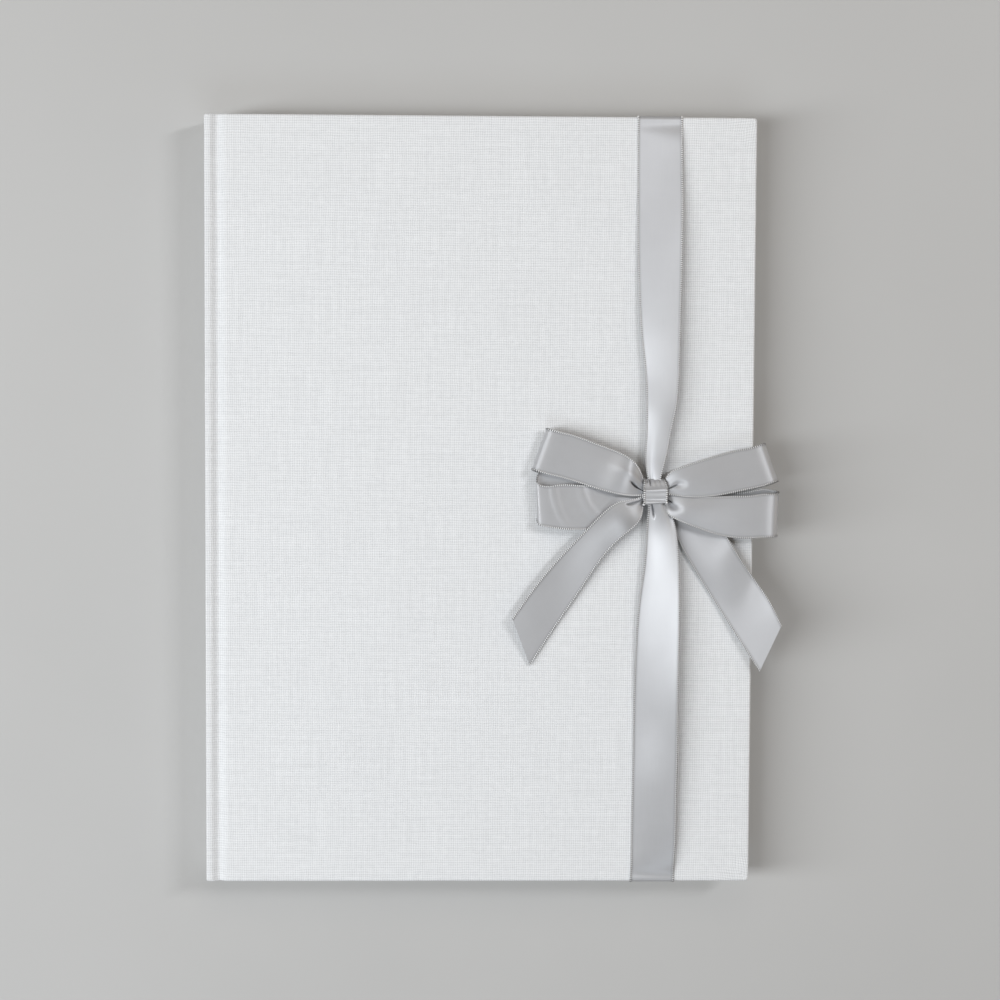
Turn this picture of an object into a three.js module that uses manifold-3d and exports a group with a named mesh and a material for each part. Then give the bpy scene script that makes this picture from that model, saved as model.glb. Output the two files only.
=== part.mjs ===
// Wedding guest book: a cloth-covered hardback with a satin ribbon band and a bow on its front cover.
// Units are millimetres. The back cover's underside lies on z = 0 with its centre at the origin,
// +X runs from the spine to the fore-edge, +Y to the head of the pages and +Z up through the book.
import * as THREE from "three";
import { mergeVertices } from "three/addons/utils/BufferGeometryUtils.js";
import Module from "manifold-3d";

// The book as a whole.
const COVER_WIDTH = 218; // spine face to fore-edge
const COVER_HEIGHT = 305; // head to tail
const THICKNESS = 20;
const PAGE_WIDTH = 210;
const PAGE_HEIGHT = 297;
const PAGE_PAST_HINGE = 0.1; // hinge line to the folds of the sections

// Case: cloth over greyboard, with a pasted endpaper inside.
const CLOTH = 0.4;
const GAP = 0.05; // glue line between two touching layers
const BOARD = 2.5;
const TURN_IN = 15; // cloth folded over the inside edges of a board
const TURN_IN_CLOTH = 0.35;
const PASTEDOWN = 0.2;
const PASTEDOWN_MARGIN = 4;
const GAUZE = 0.1; // open-weave lining glued under the pastedown
const GAUZE_REACH = 25;
const GAUZE_MARGIN = 1;
const GAUZE_PROUD = 0.02; // of the gauze above the inside face of the board

// Spine and the soft joints on each side of it.
const SPINE_BOARD = 2.05;
const SPINE_CLEARANCE = 0.45; // spine piece to the level of the cover's outer face
const JOINT_WIDTH = 3.9;
const JOINT_CLOTH = 0.25;
const JOINT_LEVEL = 2.6; // outer face of the joint cloth above the cover's outer face
const HINGE_INSET = 3.3; // hinge line to the spine face and to the cover's outer face

// Text block.
const FLYLEAF = 0.25;
const FLYLEAF_LEVEL = 3.3;
const SECTION_COUNT = 8;
const SECTION_THICKNESS = 1.5;
const SECTION_PITCH = 1.6;
const HEADBAND_DEPTH = 0.65;
const HEADBAND_OVERLAP = 3.5; // along the folds of the sections
const HEADBAND_PROUD = 0.8; // beyond the ends of the pages
const HEADBAND_GAP = 0.15; // to the folds of the sections
const FOLD_FACETS = 8; // round the fold of a section

// Ribbon.
const RIBBON_WIDTH = 17;
const RIBBON = 0.3;
const RIBBON_TURN_IN = 0.15;
const RIBBON_TUCK = 12; // glued length inside the cover
const BAND_FROM_FORE_EDGE = 38.4; // to the middle of the band
const BOW_RIBBON = 0.45; // ribbon of the bow, with a little air in its folds
const KNOT_CENTRE = [69, 5];
const KNOT_SIZE = 9.5;
const KNOT_BASE = 20.65;
const KNOT_TOP = 28.6;
const KNOT_CORNER = 1.8;
const KNOT_FACETS = 6; // round each corner of the knot
const KNOT_GAP = 0.3; // between the knot and each loop or tail
const LOOP_END_FACETS = 6;
const LOOP_RISE_AT = 0.35; // share of a loop's length where it has made most of its climb
const LOOP_RISE = 0.55; // share of the climb made there
const LOOP_LEVEL_AT = 0.75; // share of the length where it runs level
const LOOP_LEVEL = 0.97; // share of its end's radius reached there

// Derived places.
const SPINE_X = -COVER_WIDTH / 2;
const FORE_X = COVER_WIDTH / 2;
const HEAD_Y = COVER_HEIGHT / 2;
const HINGE_X = SPINE_X + HINGE_INSET;
const JOINT_START_X = HINGE_X + HINGE_INSET / 8;
const COVER_START_X = JOINT_START_X + JOINT_WIDTH;
const BOARD_START_X = COVER_START_X + CLOTH;
const BOARD_BASE = CLOTH + GAP;
const BOARD_TOP = BOARD_BASE + BOARD;
const PAGE_START_X = HINGE_X + PAGE_PAST_HINGE;
const PAGE_END_X = PAGE_START_X + PAGE_WIDTH;
const BAND_X = FORE_X - BAND_FROM_FORE_EDGE;
const FAR = 2 * COVER_HEIGHT; // reaches past everything, for cuts

const MATERIALS = {
  cloth: { color: 0xe9e9ea, roughness: 0.85 },
  greyboard: { color: 0x8c8a84, roughness: 0.9 },
  paper: { color: 0xf4f1e8, roughness: 0.8 },
  endpaper: { color: 0xf1efe9, roughness: 0.8 },
  gauze: { color: 0xd9d4c6, roughness: 0.9 },
  headband: { color: 0xf5f4f0, roughness: 0.6 },
  satin: { color: 0xb9b9ba, roughness: 0.35 },
};
const wasm = await Module();
wasm.setup();

// ---- Helpers ----

/** A closed three.js geometry as a manifold-3d solid. */
function solid(geometry) {
  const bare = geometry.clone();
  bare.deleteAttribute("normal");
  bare.deleteAttribute("uv");
  const merged = mergeVertices(bare, 1e-4);
  return new wasm.Manifold(
    new wasm.Mesh({
      numProp: 3,
      vertProperties: merged.attributes.position.array,
      triVerts: new Uint32Array(merged.index.array),
    }),
  );
}

/** A manifold-3d solid as a three.js geometry. */
function geometryOf(body) {
  const mesh = body.getMesh();
  const geometry = new THREE.BufferGeometry();
  geometry.setAttribute("position", new THREE.BufferAttribute(mesh.vertProperties, 3));
  geometry.setIndex(new THREE.BufferAttribute(mesh.triVerts, 1));
  geometry.computeVertexNormals();
  return geometry;
}

/** A solid box between two corners. */
function box([x0, y0, z0], [x1, y1, z1]) {
  const geometry = new THREE.BoxGeometry(x1 - x0, y1 - y0, z1 - z0);
  geometry.translate((x0 + x1) / 2, (y0 + y1) / 2, (z0 + z1) / 2);
  return solid(geometry);
}

/** An outline given a straight thickness. */
function extruded(shape, depth, curveSegments) {
  return new THREE.ExtrudeGeometry(shape, { depth, steps: 1, bevelEnabled: false, curveSegments });
}

/** A board with its inside margins lowered, so that what is folded over them lies flush. */
function rebated(board, margins) {
  return margins.reduce((left, margin) => left.subtract(margin), board);
}

/** A named piece made of one of the materials above. */
function piece(name, body, kind) {
  const material = new THREE.MeshStandardMaterial({ ...MATERIALS[kind], metalness: 0 });
  const mesh = new THREE.Mesh(geometryOf(body), material);
  mesh.name = name;
  return mesh;
}

// ---- One cover, modelled as the back one: z runs inwards from its outer face ----

/** The two end margins and the fore-edge margin inside a board, from one depth to another. */
function margins(startX, endX, reach, low, high, inset = 0) {
  const edge = HEAD_Y - inset;
  const inner = HEAD_Y - reach;
  return [
    box([startX, inner, low], [endX, edge, high]),
    box([startX, -edge, low], [endX, -inner, high]),
    box([FORE_X - reach, -edge, low], [endX, edge, high]),
  ];
}

function coverBoard() {
  const board = box(
    [BOARD_START_X + GAP, GAP + CLOTH - HEAD_Y, BOARD_BASE],
    [FORE_X - CLOTH - GAP, HEAD_Y - CLOTH - GAP, BOARD_TOP],
  );
  const clothStep = BOARD_TOP - TURN_IN_CLOTH - GAP;
  const gauzeStep = box(
    [-FAR, -HEAD_Y, BOARD_TOP - GAUZE - GAUZE_PROUD],
    [BOARD_START_X + GAUZE_REACH + GAP, HEAD_Y, FAR],
  );
  return rebated(board, [...margins(-FAR, FAR, TURN_IN + GAP, clothStep, FAR, -FAR), gauzeStep]);
}

/** Cloth over the outside of the board, round its four edges and 15 mm in over three of them. */
function coverCloth() {
  const outside = box([COVER_START_X, -HEAD_Y, 0], [FORE_X, HEAD_Y, BOARD_TOP]);
  const hollow = box(
    [BOARD_START_X, CLOTH - HEAD_Y, CLOTH],
    [FORE_X - CLOTH, HEAD_Y - CLOTH, FAR],
  );
  const turnIns = margins(COVER_START_X, FORE_X, TURN_IN, BOARD_TOP - TURN_IN_CLOTH, BOARD_TOP);
  const spineSide = box(
    [-FAR, -FAR, JOINT_LEVEL + JOINT_CLOTH],
    [BOARD_START_X, FAR, FAR],
  );
  const folded = turnIns.reduce((cloth, turnIn) => cloth.add(turnIn), outside.subtract(hollow));
  return folded.subtract(spineSide);
}

/** The strip of cloth at the bottom of the groove between a cover and the spine. */
function jointCloth() {
  return box(
    [JOINT_START_X, -HEAD_Y, JOINT_LEVEL],
    [COVER_START_X - GAP, HEAD_Y, JOINT_LEVEL + JOINT_CLOTH],
  );
}

function hingeGauze() {
  const edge = HEAD_Y - TURN_IN - GAUZE_MARGIN;
  const top = BOARD_TOP + GAUZE_PROUD;
  return box([JOINT_START_X, -edge, top - GAUZE], [BOARD_START_X + GAUZE_REACH, edge, top]);
}

function pastedown() {
  const edge = HEAD_Y - PASTEDOWN_MARGIN;
  const base = BOARD_TOP + GAP;
  return box([JOINT_START_X, -edge, base], [FORE_X - PASTEDOWN_MARGIN, edge, base + PASTEDOWN]);
}

function flyleaf() {
  const edge = PAGE_HEIGHT / 2;
  return box([PAGE_START_X, -edge, FLYLEAF_LEVEL], [PAGE_END_X, edge, FLYLEAF_LEVEL + FLYLEAF]);
}

/** Turns a piece of the back cover into the matching piece of the front cover. */
function toFront(body) {
  return body.mirror([0, 0, 1]).translate([0, 0, THICKNESS]);
}

/** The pieces that both covers have, named for the one they belong to. */
function coverPieces(side, place) {
  return [
    piece(`${side}_board`, place(coverBoard()), "greyboard"),
    piece(`${side}_joint_cloth`, place(jointCloth()), "cloth"),
    piece(`${side}_hinge_gauze`, place(hingeGauze()), "gauze"),
    piece(`${side}_pastedown`, place(pastedown()), "endpaper"),
    piece(`${side}_flyleaf`, place(flyleaf()), "endpaper"),
  ];
}

/** The band passes over the front cover and is tucked in at both ends, so the cloth makes room. */
function frontCoverCloth() {
  const halfSlot = RIBBON_WIDTH / 2 + GAP;
  const slotDepth = RIBBON_TURN_IN + GAP;
  const slot = box([BAND_X - halfSlot, -FAR, BOARD_TOP - slotDepth], [BAND_X + halfSlot, FAR, FAR]);
  return toFront(coverCloth().subtract(slot));
}

// ---- Spine ----

function spineBoard() {
  const outer = SPINE_X + CLOTH + GAP;
  const inner = outer + SPINE_BOARD;
  const edge = HEAD_Y - CLOTH - GAP;
  const board = box([outer, -edge, SPINE_CLEARANCE], [inner, edge, THICKNESS - SPINE_CLEARANCE]);
  const step = inner - TURN_IN_CLOTH - GAP;
  return rebated(board, [
    box([step, HEAD_Y - TURN_IN - GAP, -FAR], [FAR, FAR, FAR]),
    box([step, -FAR, -FAR], [FAR, GAP + TURN_IN - HEAD_Y, FAR]),
  ]);
}

function spineCloth() {
  const low = SPINE_CLEARANCE;
  const high = THICKNESS - SPINE_CLEARANCE;
  const inner = SPINE_X + CLOTH + GAP + SPINE_BOARD;
  const outside = box([SPINE_X, -HEAD_Y, low], [inner, HEAD_Y, high]);
  const hollow = box([SPINE_X + CLOTH, CLOTH - HEAD_Y, -FAR], [FAR, HEAD_Y - CLOTH, FAR]);
  const step = inner - TURN_IN_CLOTH;
  return outside
    .subtract(hollow)
    .add(box([step, HEAD_Y - TURN_IN, low], [inner, HEAD_Y, high]))
    .add(box([step, -HEAD_Y, low], [inner, TURN_IN - HEAD_Y, high]));
}

/** The sewn edging at one end of the text block's back, in the hollow of the spine. */
function endBand(end) {
  const x = PAGE_START_X - HEADBAND_GAP;
  const inner = end * (PAGE_HEIGHT / 2 - HEADBAND_OVERLAP);
  const outer = end * (PAGE_HEIGHT / 2 + HEADBAND_PROUD);
  const low = sectionBase(SECTION_COUNT);
  return box(
    [x - HEADBAND_DEPTH, Math.min(inner, outer), low],
    [x, Math.max(inner, outer), THICKNESS - low],
  );
}

// ---- Text block ----

/** Underside of a section; section 1 lies under the front cover and the last one on the back cover. */
function sectionBase(number) {
  const block = SECTION_COUNT * SECTION_PITCH - (SECTION_PITCH - SECTION_THICKNESS);
  return (THICKNESS - block) / 2 + (SECTION_COUNT - number) * SECTION_PITCH;
}

/** A gathering of folded leaves: square at the fore-edge and rounded along its fold. */
function section(number) {
  const base = sectionBase(number);
  const radius = SECTION_THICKNESS / 2;
  const profile = new THREE.Shape();
  profile.moveTo(PAGE_END_X, base);
  profile.lineTo(PAGE_END_X, base + SECTION_THICKNESS);
  profile.lineTo(PAGE_START_X + radius, base + SECTION_THICKNESS);
  profile.absarc(PAGE_START_X + radius, base + radius, radius, Math.PI / 2, (3 * Math.PI) / 2, false);
  profile.closePath();
  const geometry = extruded(profile, PAGE_HEIGHT, FOLD_FACETS);
  geometry.rotateX(Math.PI / 2);
  geometry.translate(0, PAGE_HEIGHT / 2, 0);
  return solid(geometry);
}

// ---- Ribbon ----

/** Round the front cover, lengthways, with each end tucked in behind the pastedown. */
function ribbonBand() {
  const left = BAND_X - RIBBON_WIDTH / 2;
  const right = BAND_X + RIBBON_WIDTH / 2;
  const top = THICKNESS + GAP + RIBBON;
  const inside = THICKNESS - BOARD_TOP;
  const edge = HEAD_Y + GAP + RIBBON;
  const outside = box([left, -edge, inside], [right, edge, top]);
  const cover = box(
    [-FAR, -HEAD_Y - GAP, inside + RIBBON_TURN_IN],
    [FAR, HEAD_Y + GAP, THICKNESS + GAP],
  );
  const open = HEAD_Y - RIBBON_TUCK;
  return outside.subtract(cover).subtract(box([-FAR, -open, -FAR], [FAR, open, THICKNESS + GAP]));
}

/**
 * A ribbon strip. `path` is its run seen from the side, as [distance out, height] pairs, and the
 * two edges are its outline seen from above, from the knot outwards.
 */
function ribbonStrip({ path, samples, edges }) {
  const run = new THREE.SplineCurve(path.map(([out, height]) => new THREE.Vector2(out, height)));
  const above = [];
  const below = [];
  for (let i = 0; i <= samples; i += 1) {
    const point = run.getPointAt(i / samples);
    const along = run.getTangentAt(i / samples);
    const side = new THREE.Vector2(-along.y, along.x).multiplyScalar(BOW_RIBBON / 2);
    above.push(point.clone().add(side));
    below.push(point.clone().sub(side));
  }
  const outline = [...above, ...below.reverse()];
  const geometry = extruded(new THREE.Shape(outline), 1, 1);
  const reach = Math.max(...outline.map((point) => point.x));
  const start = Math.min(...outline.map((point) => point.x));
  const [left, right] = edges.map(
    (points) => new THREE.SplineCurve(points.map(([x, y]) => new THREE.Vector2(x, y))),
  );
  const position = geometry.getAttribute("position");
  for (let i = 0; i < position.count; i += 1) {
    const out = THREE.MathUtils.clamp((position.getX(i) - start) / (reach - start), 0, 1);
    const across = position.getZ(i);
    const plan = left.getPoint(out).lerp(right.getPoint(out), across);
    position.setXYZ(i, plan.x, plan.y, position.getY(i));
  }
  return facingOut(geometry);
}

/** The solid of a geometry whose mapping may have turned its faces inwards. */
function facingOut(geometry) {
  const body = solid(geometry);
  if (body.volume() > 0) return body;
  const flipped = geometry.clone();
  const array = flipped.getAttribute("position").array;
  for (let i = 0; i < array.length; i += 9) {
    for (let axis = 0; axis < 3; axis += 1) {
      const first = array[i + axis];
      array[i + axis] = array[i + 3 + axis];
      array[i + 3 + axis] = first;
    }
  }
  return solid(flipped);
}

/** Side run of a loop: out along the top, round the end and back underneath. */
function loopPath(length, topAtKnot, bottomAtKnot, endCentre, endRadius) {
  const straight = length - endRadius;
  const topRise = endCentre + endRadius - topAtKnot;
  const bottomRise = endCentre - endRadius - bottomAtKnot;
  const path = [
    [0, topAtKnot],
    [straight * LOOP_RISE_AT, topAtKnot + LOOP_RISE * topRise],
    [straight * LOOP_LEVEL_AT, endCentre + LOOP_LEVEL * endRadius],
  ];
  for (let i = 0; i <= LOOP_END_FACETS; i += 1) {
    const angle = Math.PI / 2 - (i * Math.PI) / LOOP_END_FACETS;
    path.push([straight + endRadius * Math.cos(angle), endCentre + endRadius * Math.sin(angle)]);
  }
  path.push([straight * LOOP_LEVEL_AT, endCentre - LOOP_LEVEL * endRadius]);
  path.push([straight * LOOP_RISE_AT, bottomAtKnot + LOOP_RISE * bottomRise]);
  path.push([0, bottomAtKnot]);
  return path;
}

const KNOT_LEFT = KNOT_CENTRE[0] - KNOT_SIZE / 2 - KNOT_GAP;
const KNOT_RIGHT = KNOT_CENTRE[0] + KNOT_SIZE / 2 + KNOT_GAP;
const LOOP_SAMPLES = 44;
const TAIL_SAMPLES = 24;

// Each strip's two edges as seen from above, from the knot to its far end.
const BOW_STRIPS = {
  bow_loop_upper_left: {
    path: loopPath(46, 25.9, 24.5, 24.1, 2.8),
    samples: LOOP_SAMPLES,
    edges: [
      [[KNOT_LEFT, 9.4], [60, 15.2], [45.7, 23.5], [35, 27.4], [25.9, 29.7]],
      [[KNOT_LEFT, 5.4], [53.4, 6.2], [41.9, 8.6], [30.4, 11.4], [20.3, 13.9]],
    ],
  },
  bow_loop_lower_left: {
    path: loopPath(41, 22.8, 21.4, 23.7, 2.75),
    samples: LOOP_SAMPLES,
    edges: [
      [[KNOT_LEFT, 4.6], [53.4, 5.4], [41.9, 7.4], [30.4, 8.8], [22.1, 10]],
      [[KNOT_LEFT, 0.8], [57, -6], [46, -9.6], [34, -9.8], [23.4, -8.7]],
    ],
  },
  bow_loop_upper_right: {
    path: loopPath(45, 25.9, 24.5, 24.1, 2.8),
    samples: LOOP_SAMPLES,
    edges: [
      [[KNOT_RIGHT, 9.6], [83.4, 15.8], [92, 18.5], [102, 21.6], [112.3, 24]],
      [[KNOT_RIGHT, 5.4], [83.4, 3.8], [95, 4.2], [106.5, 6.4], [117.4, 9.6]],
    ],
  },
  bow_loop_lower_right: {
    path: loopPath(45, 23.6, 22.2, 24.3, 2.6),
    samples: LOOP_SAMPLES,
    edges: [
      [[KNOT_RIGHT, 3.4], [83.7, 2.4], [94, 2.6], [106, 3.2], [118.6, 3.7]],
      [[KNOT_RIGHT, 0], [80.2, -5.9], [89, -10.2], [101, -13.2], [118, -13.1]],
    ],
  },
  bow_tail_left: {
    path: [[0, 25.6], [10, 27], [26, 27.2], [38, 26.4], [52, 24.9], [64, 23.7], [82, 22.8]],
    samples: TAIL_SAMPLES,
    edges: [
      [[KNOT_LEFT, 3], [50.3, -3], [40, -11.8], [23.2, -31.3], [13.1, -46.1]],
      [[KNOT_LEFT, -1.4], [59, -10], [49.7, -19.7], [34.5, -42], [20, -64.8]],
    ],
  },
  bow_tail_right: {
    path: [[0, 20.98], [20, 20.98], [40, 21], [60, 21.1], [78, 21.3]],
    samples: TAIL_SAMPLES,
    edges: [
      [[KNOT_RIGHT, -0.6], [77.5, -10], [84.2, -23.6], [97, -43.5], [111.9, -66.6]],
      [[KNOT_RIGHT, 2.8], [90, -5], [100.3, -17.3], [110, -32], [119.8, -48.5]],
    ],
  },
};

/** A rounded rectangle in the plane across the book, with room for a hole. */
function knotOutline(Outline, inset) {
  const low = KNOT_CENTRE[1] - KNOT_SIZE / 2 + inset;
  const high = KNOT_CENTRE[1] + KNOT_SIZE / 2 - inset;
  const base = KNOT_BASE + inset;
  const top = KNOT_TOP - inset;
  const corner = KNOT_CORNER - inset / 2;
  const outline = new Outline();
  outline.moveTo(low + corner, base);
  outline.lineTo(high - corner, base);
  outline.absarc(high - corner, base + corner, corner, -Math.PI / 2, 0, false);
  outline.absarc(high - corner, top - corner, corner, 0, Math.PI / 2, false);
  outline.absarc(low + corner, top - corner, corner, Math.PI / 2, Math.PI, false);
  outline.absarc(low + corner, base + corner, corner, Math.PI, (3 * Math.PI) / 2, false);
  return outline;
}

/** An outline in the Y-Z plane, given thickness along X about the knot's middle. */
function acrossKnot(shape, width) {
  const geometry = extruded(shape, width, KNOT_FACETS);
  geometry.rotateX(Math.PI / 2);
  geometry.rotateZ(Math.PI / 2);
  geometry.translate(KNOT_CENTRE[0] - width / 2, 0, 0);
  return solid(geometry);
}

function knotWrap() {
  const shape = knotOutline(THREE.Shape, 0);
  shape.holes.push(knotOutline(THREE.Path, BOW_RIBBON));
  return acrossKnot(shape, KNOT_SIZE);
}

function gatheredCentre() {
  const clearance = BOW_RIBBON + KNOT_GAP;
  return acrossKnot(knotOutline(THREE.Shape, clearance), KNOT_SIZE - 2 * KNOT_GAP);
}

// ---- Assembly ----

function backCover() {
  const group = new THREE.Group();
  group.add(piece("back_cover_cloth", coverCloth(), "cloth"));
  group.add(...coverPieces("back", (body) => body));
  return group;
}

function frontCover() {
  const group = new THREE.Group();
  group.add(piece("front_cover_cloth", frontCoverCloth(), "cloth"));
  group.add(...coverPieces("front", toFront));
  return group;
}

function spine() {
  const group = new THREE.Group();
  group.add(piece("spine_board", spineBoard(), "greyboard"));
  group.add(piece("spine_cloth", spineCloth(), "cloth"));
  group.add(piece("headband", endBand(1), "headband"));
  group.add(piece("tailband", endBand(-1), "headband"));
  return group;
}

function textBlock() {
  const group = new THREE.Group();
  for (let number = 1; number <= SECTION_COUNT; number += 1) {
    group.add(piece(`section_${number}`, section(number), "paper"));
  }
  return group;
}

function bow() {
  const group = new THREE.Group();
  group.add(piece("ribbon_band", ribbonBand(), "satin"));
  for (const [name, strip] of Object.entries(BOW_STRIPS)) {
    group.add(piece(name, ribbonStrip(strip), "satin"));
  }
  group.add(piece("bow_knot_wrap", knotWrap(), "satin"));
  group.add(piece("bow_gathered_centre", gatheredCentre(), "satin"));
  return group;
}

const book = new THREE.Group();
book.add(backCover(), spine(), textBlock(), frontCover(), bow());

export default book;
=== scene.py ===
"""The looks of the wedding guest book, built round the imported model.

Lengths in this script are millimetres until a mesh is made, and every place comes from the frame.
The case's cloth is one surface cut at the seams where the bodies part, the text block is single
leaves, and the ribbon is swept from pairs of selvedges.
"""

import math
import random

import bmesh
import bpy
import numpy as np
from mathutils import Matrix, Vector


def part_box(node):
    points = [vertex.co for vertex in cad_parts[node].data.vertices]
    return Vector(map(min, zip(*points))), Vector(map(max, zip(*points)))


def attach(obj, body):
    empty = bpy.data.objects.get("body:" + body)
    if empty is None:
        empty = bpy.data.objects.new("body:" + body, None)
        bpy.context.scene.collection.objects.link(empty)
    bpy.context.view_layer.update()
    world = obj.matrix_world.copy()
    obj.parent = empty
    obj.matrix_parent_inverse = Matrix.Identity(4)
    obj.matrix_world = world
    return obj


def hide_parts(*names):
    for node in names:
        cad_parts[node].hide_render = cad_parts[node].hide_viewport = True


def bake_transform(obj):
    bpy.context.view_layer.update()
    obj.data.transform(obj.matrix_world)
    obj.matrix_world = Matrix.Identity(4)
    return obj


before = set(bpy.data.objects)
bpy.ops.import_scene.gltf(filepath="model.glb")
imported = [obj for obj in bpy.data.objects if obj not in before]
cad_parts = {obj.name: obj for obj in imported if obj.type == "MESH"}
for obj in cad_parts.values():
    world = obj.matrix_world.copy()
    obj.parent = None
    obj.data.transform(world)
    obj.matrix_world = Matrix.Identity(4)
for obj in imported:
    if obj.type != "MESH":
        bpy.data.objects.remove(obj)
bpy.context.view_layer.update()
MM = 0.001


def span(node):
    """Lowest and highest corner of a CAD node, in millimetres."""
    low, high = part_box(node)
    return np.array(low) / MM, np.array(high) / MM


# ---- Driving dimensions, from the frame ----

FRONT_LOW, FRONT_HIGH = span("front_cover_cloth")
BACK_LOW, BACK_HIGH = span("back_cover_cloth")
SPINE_LOW, SPINE_HIGH = span("spine_cloth")
KNOT_LOW, KNOT_HIGH = span("bow_knot_wrap")
BAND_LOW, BAND_HIGH = span("ribbon_band")

TOP = FRONT_HIGH[2]  # outer face of the front cover
THICKNESS = TOP - BACK_LOW[2]
HALF_HEIGHT = FRONT_HIGH[1]
FORE_X = FRONT_HIGH[0]
SPINE_X = SPINE_LOW[0]
COVER_DEPTH = BACK_HIGH[2] - BACK_LOW[2]  # cloth, board and turned-in cloth
KNOT = (KNOT_LOW + KNOT_HIGH) / 2
RIBBON_WIDTH = BAND_HIGH[0] - BAND_LOW[0]
BAND_X = (BAND_LOW[0] + BAND_HIGH[0]) / 2

CLOTH = 0.36  # book cloth
TURN_IN = 15.0  # of the cloth, over a board's edge
CLOTH_SEAM_X = SPINE_X + 9.5  # where the joint's cloth meets the cover's
SPINE_SEAM = 3.4  # the same on the spine, below the cover's outer face
EDGE_ROUND, EDGE_ROUND_INSIDE = 0.85, 0.5  # the cloth's bends round that edge
SATIN = 0.24  # ribbon
SELVEDGE = 0.36  # radius of the woven edge of the ribbon
PICOT_PITCH = 0.82  # one stitch of that edge
LAYER_GAP = 1.4  # between the two layers of a loop at the knot
GRID_INSET = 6.0  # from a cover's edge to the plain grid inside it
CORNER = 1.3  # radius of a cover's corners, seen from above
BEND_DEPTH = 3.3  # the same below the cover's outer face
PAPER_SHARE = 0.84  # of a leaf's pitch in the text block
RNG = random.Random(11)


# ---- Meshes ----


def new_object(name, data):
    made = bpy.data.objects.new(name, data)
    bpy.context.scene.collection.objects.link(made)
    return made


class Surface:
    """Points, faces and flat cloth coordinates, gathered before they become a mesh."""

    def __init__(self):
        self.points, self.flats, self.faces = [], [], []

    def add(self, point, flat):
        self.points.append(tuple(float(c) for c in point))
        self.flats.append(tuple(float(c) for c in flat))
        return len(self.points) - 1

    def grid(self, points, flats, flip=False):
        """Adds rows of points, joined into quads, and returns their indices."""
        index = [[self.add(*pair) for pair in zip(*rows)] for rows in zip(points, flats)]
        self.quads(index, flip)
        return index

    def quads(self, index, flip=False):
        for upper, lower in zip(index, index[1:]):
            for j in range(len(upper) - 1):
                face = (upper[j], upper[j + 1], lower[j + 1], lower[j])
                if len(set(face)) >= 3:
                    self.faces.append(face[::-1] if flip else face)

    def caps(self, index, flip):
        """Closes both ends of a tube whose rows each go once round it."""
        for row, turned in ((index[0], not flip), (index[-1], flip)):
            face = tuple(row[:-1])
            self.faces.append(face[::-1] if turned else face)

    def object(self, name, material, sharp=40.0):
        mesh = bpy.data.meshes.new(name)
        mesh.from_pydata([[c * MM for c in p] for p in self.points], [], self.faces)
        layer = mesh.uv_layers.new(name="flat")
        corner_points = np.empty(len(mesh.loops), int)
        mesh.loops.foreach_get("vertex_index", corner_points)
        flats = np.array(self.flats)[corner_points] * MM
        layer.data.foreach_set("uv", flats.astype(np.float32).ravel())
        mesh.shade_smooth()
        if sharp:
            mesh.set_sharp_from_angle(angle=math.radians(sharp))
        mesh.materials.append(material)
        return new_object(name, mesh)


def merge_close(obj, distance=0.002):
    """Joins points that lie together, such as those of a collapsed corner."""
    made = bmesh.new()
    made.from_mesh(obj.data)
    bmesh.ops.remove_doubles(made, verts=made.verts, dist=distance * MM)
    bmesh.ops.dissolve_degenerate(made, edges=made.edges, dist=distance * MM / 4)
    made.to_mesh(obj.data)
    made.free()
    return obj


def thicken(obj, depth, offset=-1.0):
    """Gives a surface its thickness: inwards from its face, or evenly where the offset is 0."""
    made = obj.modifiers.new("thickness", "SOLIDIFY")
    made.thickness = depth * MM
    made.offset = offset
    made.use_even_offset = False
    seen = bpy.context.evaluated_depsgraph_get()
    solid = bpy.data.meshes.new_from_object(obj.evaluated_get(seen))
    obj.modifiers.clear()
    obj.data = solid
    solid.shade_smooth()
    solid.set_sharp_from_angle(angle=math.radians(55))
    return obj


def spline(rows, samples):
    """Evenly spaced points on a smooth curve through the rows: a natural cubic in chord length."""
    rows = np.array(rows, float)
    gaps = np.linalg.norm(np.diff(rows, axis=0), axis=1)
    knots = np.concatenate([[0.0], np.cumsum(gaps)])
    count = len(rows)
    matrix = np.zeros((count, count))
    right = np.zeros((count, rows.shape[1]))
    matrix[0, 0] = matrix[-1, -1] = 1.0
    for i in range(1, count - 1):
        matrix[i, i - 1] = gaps[i - 1]
        matrix[i, i] = 2 * (gaps[i - 1] + gaps[i])
        matrix[i, i + 1] = gaps[i]
        slopes = (rows[i + 1] - rows[i]) / gaps[i] - (rows[i] - rows[i - 1]) / gaps[i - 1]
        right[i] = 6 * slopes
    second = np.linalg.solve(matrix, right)
    at = np.linspace(0, knots[-1], samples)
    piece = np.clip(np.searchsorted(knots, at, side="right") - 1, 0, count - 2)
    gap = gaps[piece][:, None]
    before = (at - knots[piece])[:, None]
    after = gap - before
    return (
        second[piece] * after**3 / (6 * gap)
        + second[piece + 1] * before**3 / (6 * gap)
        + (rows[piece] / gap - second[piece] * gap / 6) * after
        + (rows[piece + 1] / gap - second[piece + 1] * gap / 6) * before
    )


def lengths(points):
    """Distance along a line of points to each of them."""
    return np.concatenate([[0.0], np.cumsum(np.linalg.norm(np.diff(points, axis=0), axis=1))])


def at_lengths(wanted, run, line):
    """Points of a line at the wanted distances along it."""
    return np.stack([np.interp(wanted, run, column) for column in line.T], axis=1)


def unit(rows):
    return rows / np.linalg.norm(rows, axis=1)[:, None]


def smooth_step(value, low, high):
    t = np.clip((value - low) / (high - low), 0, 1)
    return t * t * (3 - 2 * t)


# ---- Materials ----


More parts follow.
